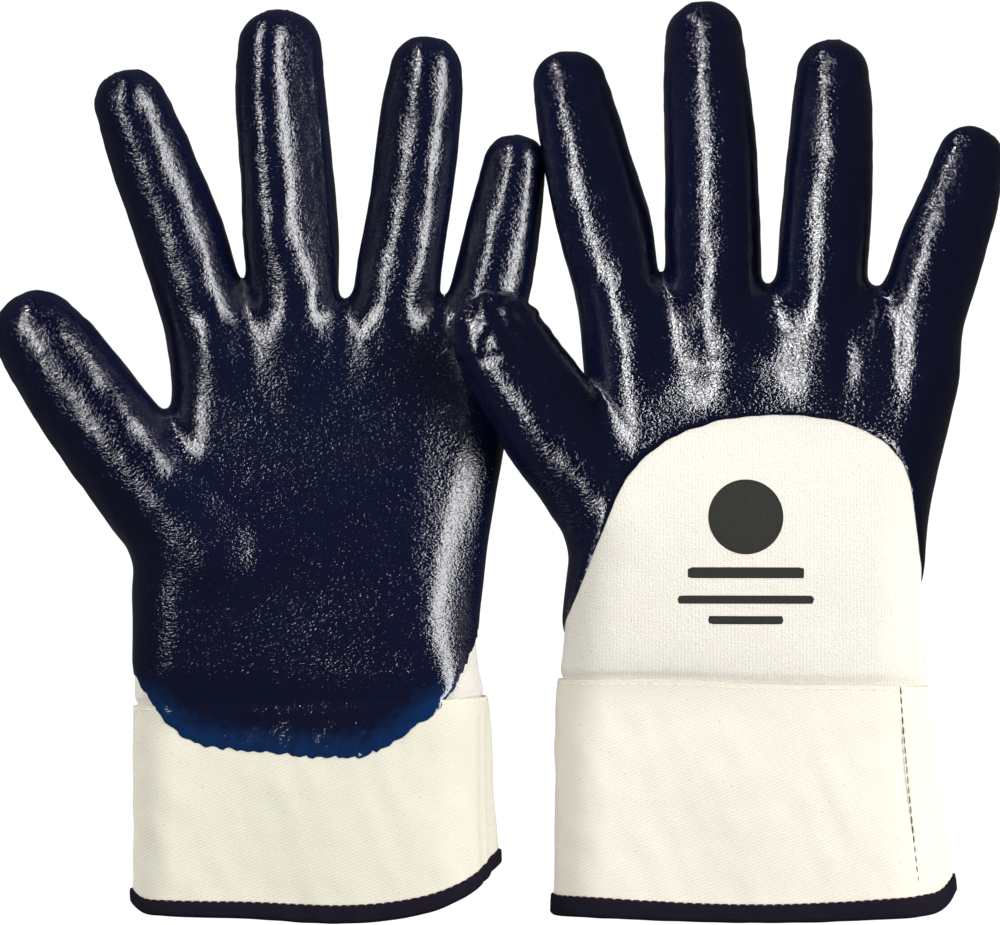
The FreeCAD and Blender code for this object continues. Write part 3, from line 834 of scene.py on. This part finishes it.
def build_tape(hand, mats):
    """The bound edge: a strip folded over the cuff's mouth, as a closed ring of profiles."""
    count = CUFF_COLUMNS
    lip, out = LAP_RISE - TAPE_T, LAP_RISE + CUFF_T + TAPE_T
    mid, half = (lip + out) / 2, (out - lip) / 2
    # The profile as depth below the cuff's outside, share of the tape's height, and y beyond that
    profile = [
        (lip + 0.12, 1.0, 0.0), (lip, 0.94, 0.0), (lip - 0.05, 0.6, 0.0), (lip, 0.2, 0.0),
        (lip + 0.02, 0.06, 0.0),
    ]
    arc = np.linspace(0.15, np.pi - 0.15, 7)
    profile += [(mid - half * math.cos(a), 0.0, -half * 0.75 * math.sin(a)) for a in arc]
    profile += [(out, 0.06, 0.0), (out, 0.94, 0.0), (out - 0.12, 1.0, 0.0)]
    far, near = LAP_RISE + CUFF_T + 0.05, LAP_RISE - 0.05
    profile += [(far, 1.0, 0.0), (far, 0.02, 0.0), (near, 0.02, 0.0), (near, 1.0, 0.0)]
    rows = []
    for depth, share, drop in profile:

        def level(x):
            return mouth_y(hand, x) + share * tape_height(hand, x) + drop + TAPE_LIFT

        co, normal = cuff_ring(hand, level, count)
        wobble = 0.08 * waves(co, 7, 31)
        rows.append(co - normal * (depth + wobble)[:, None])
    grid = np.array(rows)
    n = len(rows)
    faces = ring_quads(n, count, n)
    turn = cuff_turn(hand)
    across = np.broadcast_to(np.arange(count) / count * turn, (n, count))
    corners = unrolled(np.stack([across, grid[:, :, 1]], -1).reshape(-1, 2)[faces], turn)
    verts = grid.reshape(-1, 3) + hand.at
    name = f"{hand.name}_bound_edge"
    return make_outward(add_mesh(name, verts, faces.tolist(), mats["tape"], corners=corners))


def make_outward(obj):
    """Turns a mesh whose faces look inwards, and keeps its sharp edges sharp."""
    mesh = obj.data
    mesh.calc_loop_triangles()
    co = np.array([v.co for v in mesh.vertices])
    a, b, c = co[np.array([t.vertices for t in mesh.loop_triangles])].transpose(1, 0, 2)
    if (a * np.cross(b, c)).sum() < 0:
        mesh.flip_normals()
    mesh.set_sharp_from_angle(angle=math.radians(50))
    return obj


def side_stitches(hand, mats):
    """The row of stitches down the cuff's side seam, on the back of the hand."""
    top_x, low_x = (46.0, 52.0) if hand.name == "left" else (45.7, 51.6)
    first = seam_y(hand, top_x) - 1.2
    stitches = []
    for y in np.arange(first, mouth_y(hand, np.array([low_x]))[0] + 6.2, -SIDE_PITCH):
        x = top_x + (low_x - top_x) * ((first - y) / 64.0) ** 1.2
        point, normal = cuff_point(hand, x, y, -1)
        stitches.append((point, np.array([0.08, -1.0, 0]), normal))
    name = f"{hand.name}_side_seam_stitches"
    return add_stitches(name, hand, stitches, 2.6, 0.2, mats["dark_thread"])


def ring_stitches(hand, mats, kind):
    """A row of stitches round the cuff, along its tape or its wrist seam."""
    count = 1500
    if kind == "binding":
        above = TAPE_LIFT + 0.15
        pitch, length, thick, depth, thread = 2.6, 2.35, 0.15, LAP_RISE - 0.03, "brown_thread"
    else:
        pitch, length, thick, depth, thread = 3.2, 2.2, 0.18, LAP_RISE + 0.08, "cotton_thread"

    def level(x):
        if kind == "binding":
            return mouth_y(hand, x) + tape_height(hand, x) + above
        return seam_y(hand, x) - 1.1

    co, normal = cuff_ring(hand, level, count)
    run = run_along(co)
    stitches = []
    for s in np.arange(0, run[-1] - pitch, pitch):
        i = int(np.searchsorted(run, s))
        if kind == "wrist_seam" and under_dip(hand, co[i]):
            continue
        stitches.append((co[i] - normal[i] * depth, co[(i + 3) % count] - co[i], normal[i]))
    return add_stitches(f"{hand.name}_{kind}_stitches", hand, stitches, length, thick, mats[thread])


def under_dip(hand, point):
    """Whether the dip's lap hides this point of the wrist seam."""
    return side_weight(hand, point[None])[0] > PALM_UP_SHARE and abs(point[0]) < LAP_HALF


def cuff_point(hand, x, y, side):
    """A point of the canvas's outside on the palm side (1) or the back (-1), and its normal."""
    left, right, ra, rb, za, zb = hand.section(y)
    t = (x - left - ra) / (right - rb - left - ra)
    c = np.clip(t, 0, 1)
    m = ease(c)
    r, z = ra + (rb - ra) * m, za + (zb - za) * m
    dx = x - (left + ra + (right - rb - left - ra) * c)
    dz = math.sqrt(max(r * r - dx * dx, 0.01))
    up = side * hand.palm
    n = np.array([dx / r, 0, up * dz / r])
    return np.array([x, y, z + up * dz]) - n * (LAP_RISE - 0.02), n


def add_stitches(name, hand, stitches, length, thick, material):
    """Small threads arched over the cloth, one for each (point, direction, normal)."""
    verts, faces = [], []
    around, along = 8, 7
    tube = ring_quads(along, around, along - 1)
    for p, way, up in stitches:
        way = way - up * (way @ up)
        way = way / np.linalg.norm(way)
        side = np.cross(up, way)
        base = len(verts)
        for i in range(along):
            t = i / (along - 1) * 2 - 1
            r = thick * math.sqrt(max(1 - t * t * 0.94, 0))
            centre = p + way * t * length / 2 + up * (0.12 - 0.20 * t * t)
            for j in range(around):
                a = 2 * math.pi * j / around
                verts.append(centre + side * r * math.cos(a) + up * r * math.sin(a))
        faces += (tube + base).tolist()
        faces.append(list(range(base, base + around))[::-1])
        faces.append(list(range(len(verts) - around, len(verts))))
    return make_outward(add_mesh(name, np.array(verts) + hand.at, faces, material))


class Graph:
    """Builds one material's nodes. Inputs are sockets to link, or constants."""

    def __init__(self, name):
        self.material = bpy.data.materials.new(name)
        self.material.use_nodes = True
        self.tree = self.material.node_tree
        self.bsdf = self.tree.nodes["Principled BSDF"]

    def node(self, kind, out=0, props=None, **inputs):
        node = self.tree.nodes.new("ShaderNode" + kind)
        for key, value in (props or {}).items():
            setattr(node, key, value)
        for key, value in inputs.items():
            self.put(node, key, value)
        return node.outputs[out]

    def put(self, node, key, value):
        key = key.replace("_", " ")
        numbered = key.startswith("in") and key[2:].isdigit()
        self.join(node.inputs[int(key[2:]) if numbered else key], value)

    def join(self, socket, value):
        if isinstance(value, bpy.types.NodeSocket):
            self.tree.links.new(value, socket)
        else:
            socket.default_value = value

    def shade(self, **inputs):
        for key, value in inputs.items():
            self.put(self.bsdf, key, value)
        return self.material

    def math(self, operation, a, b=0.0):
        return self.node("Math", props={"operation": operation}, in0=a, in1=b)

    def noise(self, at, scale, detail=2.0, rough=0.5, distort=0.0):
        shape = dict(Scale=scale, Detail=detail, Roughness=rough, Distortion=distort)
        return self.node("TexNoise", Vector=at, **shape)

    def ramp(self, value, low, high):
        return self.node("MapRange", Value=value, From_Min=low, From_Max=high)

    def mix(self, factor, a, b):
        node = self.tree.nodes.new("ShaderNodeMix")
        node.data_type = "RGBA"
        for index, value in ((0, factor), (6, a), (7, b)):
            self.join(node.inputs[index], value)
        return node.outputs[2]

    def bump(self, height, distance, normal=None):
        inputs = {"Height": height, "Distance": distance}
        if normal is not None:
            inputs["Normal"] = normal
        return self.node("Bump", **inputs)

    def attribute(self, name, out="Vector"):
        return self.node("Attribute", out, {"attribute_name": name})

    def scaled(self, at, scale, rotation=(0, 0, 0)):
        return self.node("Mapping", Vector=at, Scale=scale, Rotation=rotation)


def nitrile():
    g = Graph("nitrile")
    grain = g.attribute("grain")
    edge = g.attribute("edge", "Fac")
    # The fine wrinkles run along the hand, and turn to run along each digit
    ways = [g.scaled(g.attribute(way), (1.0, 1.7, 1.3)) for way in ("grain", "turned")]
    crepe = [g.noise(way, 1.0, 1.0, 0.5, 0.9) for way in ways]
    step = g.math("MULTIPLY", g.math("SUBTRACT", crepe[1], crepe[0]), g.attribute("turn", "Fac"))
    crepe = g.math("ADD", crepe[0], step)
    lap = g.attribute("lap", "Fac")
    crepe = g.math("MULTIPLY", crepe, g.math("SUBTRACT", 1.0, g.math("MULTIPLY", lap, 0.75)))
    pores = g.noise(grain, 0.45, 2.0, 0.5)
    bump = g.bump(pores, 0.00012)
    bump = g.bump(crepe, 0.000165, bump)
    # The lap thins to blue towards its edge, in clouds
    clouds = g.math("MULTIPLY", g.noise(grain, 0.3, 4.0, 0.6), 8.0)
    thin = g.ramp(g.math("ADD", edge, clouds), 12.5, 4.5)
    thin = g.math("MULTIPLY", thin, lap)
    color = g.mix(thin, (0.0017, 0.0027, 0.0134, 1), (0.0016, 0.017, 0.066, 1))
    rough = g.math("ADD", g.math("MULTIPLY", lap, 0.02), 0.06)
    return g.shade(Base_Color=color, Roughness=rough, Normal=bump, Specular_IOR_Level=0.75)


def opaque(color, share=1.0):
    """A colour made lighter or darker, with its alpha."""
    return tuple(c * share for c in color[:3]) + (1,)


def cloth(name, color, shadow, fleck, pattern):
    """Undyed cotton with seed flecks. Knit has ribs along the hand, and twill slanting lines."""
    g = Graph(name)

    def lines(at, axis, pitch):
        across = g.node("SeparateXYZ", axis, Vector=at)
        return g.math("SINE", g.math("MULTIPLY", across, 2 * math.pi / pitch))

    if pattern == "knit":
        at = g.attribute("grain")
        wales = lines(at, 0, 1.05)
        loops = g.noise(g.scaled(at, (1.0, 1.3, 1.0)), 1.5, 3.0, 0.7)
        height = g.math("ADD", g.math("MULTIPLY", wales, 0.10), g.math("MULTIPLY", loops, 1.8))
        depth = 0.00022
    else:
        at = g.node("TexCoord", "UV")
        turned = g.scaled(at, (1, 1, 1), (0, 0, -math.radians(22)))
        line = lines(turned, 1, 0.95)
        yarn = g.noise(g.scaled(turned, (0.9, 1.8, 1.0)), 1.5, 2.0, 0.6)
        height = g.math("ADD", g.math("MULTIPLY", line, 0.16), g.math("MULTIPLY", yarn, 1.4))
        depth = 0.00012
    cloud = g.noise(at, 0.05, 3.0, 0.55)
    base = g.mix(g.ramp(height, 0.2, 1.3), shadow, color)
    base = g.mix(g.math("MULTIPLY", g.ramp(cloud, 0.4, 0.75), 0.35), base, opaque(color, 0.94))
    cell = g.tree.nodes.new("ShaderNodeTexVoronoi")
    g.put(cell, "Vector", at)
    g.put(cell, "Scale", 0.42)
    spot = g.math("LESS_THAN", cell.outputs["Distance"], 0.11)
    rare = g.math("GREATER_THAN", g.node("SeparateColor", 0, Color=cell.outputs["Color"]), 0.8)
    flecks = g.math("MULTIPLY", g.math("MULTIPLY", spot, rare), 0.4)
    base = g.mix(flecks, base, fleck)
    look = {"Roughness": 0.92, "Specular_IOR_Level": 0.15, "Sheen_Weight": 0.1}
    return g.shade(Base_Color=base, Normal=g.bump(height, depth), **look)


def plain_cloth(name, color, rough=0.85, scale=1.6, depth=0.00006, gloss=0.25):
    """Dyed cloth, thread or ink with an uneven surface."""
    g = Graph(name)
    at = g.scaled(g.node("TexCoord", "Object"), (1000, 1000, 1000))
    weave = g.noise(at, scale, 3.0, 0.65)
    base = g.mix(g.ramp(weave, 0.3, 0.75), opaque(color, 0.55), opaque(color, 1.25))
    return g.shade(Base_Color=base, Roughness=rough, Normal=g.bump(weave, depth), Specular_IOR_Level=gloss)


def materials():
    knit = (0.603, 0.578, 0.52, 1), (0.495, 0.47, 0.413, 1), (0.22, 0.175, 0.11, 1)
    fleck = (0.22, 0.17, 0.09, 1)
    # The left cuff's canvas is the right one's cloth made about 7 per cent darker and a little yellower: a
    # shaded copy of one material, painted shade.
    left = (0.55, 0.53, 0.453, 1), (0.47, 0.45, 0.367, 1), fleck
    right = (0.588, 0.566, 0.497, 1), (0.506, 0.48, 0.406, 1), fleck
    return {
        "knit": cloth("knit_cotton", *knit, "knit"),
        "left_canvas": cloth("left_canvas", *left, "twill"),
        "right_canvas": cloth("right_canvas", *right, "twill"),
        "nitrile": nitrile(),
        "tape": plain_cloth("binding_tape", (0.006, 0.0048, 0.0107), 0.8, 1.5, 0.00014, 0.07),
        "ink": plain_cloth("print_ink", (0.0165, 0.0165, 0.014), 0.8, 2.2, 0.00003, 0.2),
        "dark_thread": plain_cloth("dark_thread", (0.062, 0.056, 0.023)),
        "cotton_thread": plain_cloth("cotton_thread", (0.66, 0.62, 0.51)),
        "brown_thread": plain_cloth("brown_thread", (0.070, 0.009, 0.009), 0.9, gloss=0.05),
    }


def light(name, at, target, size, strength):
    """A rectangular lamp. Its first size runs along Y, and the second across its beam."""
    data = bpy.data.lights.new(name, "AREA")
    data.shape = "RECTANGLE"
    data.size, data.size_y = size
    data.energy = strength * math.pi * size[0] * size[1]
    obj = place(name, data)
    obj.location = at
    obj.rotation_euler = (Vector(target) - Vector(at)).to_track_quat("-Z", "Y").to_euler()
    obj.visible_camera = False
    return obj


def share_light(lamp, pieces, state):
    """Lights only these pieces (INCLUDE), or everything but them (EXCLUDE)."""
    group = bpy.data.collections.new(lamp.name + "_pieces")
    for piece in pieces:
        group.objects.link(piece)
    lamp.light_linking.receiver_collection = group
    for entry in group.collection_objects:
        entry.light_linking.link_state = state


def plane(name, z, half, color, glow):
    """A square on the level z that belongs to the stage, and not to the gloves."""
    mesh = bpy.data.meshes.new(name)
    corners = [(x * half, y * half, z) for x, y in ((-1, -1), (1, -1), (1, 1), (-1, 1))]
    mesh.from_pydata(corners, [], [(0, 1, 2, 3)])
    look = {"Base_Color": color, "Roughness": 1.0, "Specular_IOR_Level": 0.0}
    look |= {"Emission_Color": (1, 1, 1, 1), "Emission_Strength": glow}
    mesh.materials.append(Graph(name).shade(**look))
    obj = place(name, mesh)
    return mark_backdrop(obj) or obj


def stage():
    """The white backdrop that only the camera sees, the table that catches light, lamps and camera."""
    backdrop = plane("backdrop", -0.0005, BACKDROP_HALF, (0, 0, 0, 1), 1.05)
    for flag in ("visible_diffuse", "visible_glossy", "visible_shadow", "visible_transmission"):
        setattr(backdrop, flag, False)
    table = plane("table", -0.0010, TABLE_HALF, (0.85, 0.85, 0.85, 1), 0.0)
    table.visible_camera = False
    table.visible_glossy = False
    world = bpy.data.worlds.new("room")
    world.use_nodes = True
    room = world.node_tree.nodes["Background"]
    room.inputs["Color"].default_value = (0.5, 0.5, 0.53, 1)
    room.inputs["Strength"].default_value = 0.12
    bpy.context.scene.world = world
    dipped = [o for o in bpy.context.collection.objects if o.name.endswith(("_dip", "_palm"))]
    right_dip = [o for o in dipped if o.name.startswith("right")]
    # Name, degrees from straight above towards +X, y, size, strength, and the pieces lit or left out
    for name, tilt, y, size, strength, state, pieces in (
        ("left_softbox", -33, 1.0, (1.84, 0.42), 13.8, "EXCLUDE", right_dip),
        ("right_softbox", 50, 0.45, (2.4, 0.70), 11.2, "EXCLUDE", right_dip),
        ("back_softbox", -15, 0.45, (2.4, 0.38), 18.5, "INCLUDE", right_dip),
        ("left_fill", -65, 0.0, (2.0, 1.0), 1.5, "EXCLUDE", dipped),
        ("top_fill", 0, 0.0, (2.0, 2.0), 0.25, "EXCLUDE", dipped),
        ("right_fill", 65, 0.0, (2.0, 1.0), 0.35, "EXCLUDE", dipped),
    ):
        a = math.radians(tilt)
        at = (LAMP_DISTANCE * math.sin(a), y, LAMP_DISTANCE * math.cos(a))
        share_light(light(name, at, (0, y, LAMP_AIM_Z), size, strength), pieces, state)
    light("far_lamp", (-0.7, 1.7, 0.55), (0, 0.1, LAMP_AIM_Z), (0.16, 0.16), 110.0)
    camera = place("camera", bpy.data.cameras.new("camera"))
    camera.data.lens, camera.data.sensor_width = CAMERA_LENS, CAMERA_SENSOR
    camera.location = (0, 0, CAMERA_HEIGHT)
    bpy.context.scene.camera = camera
    bpy.context.scene.view_settings.view_transform = "Standard"


def main():
    mats = materials()
    for name in GLOVES:
        hand = Hand(name)
        build_hand(hand, mats)
        build_cuff(hand, mats)
    stage()


main()
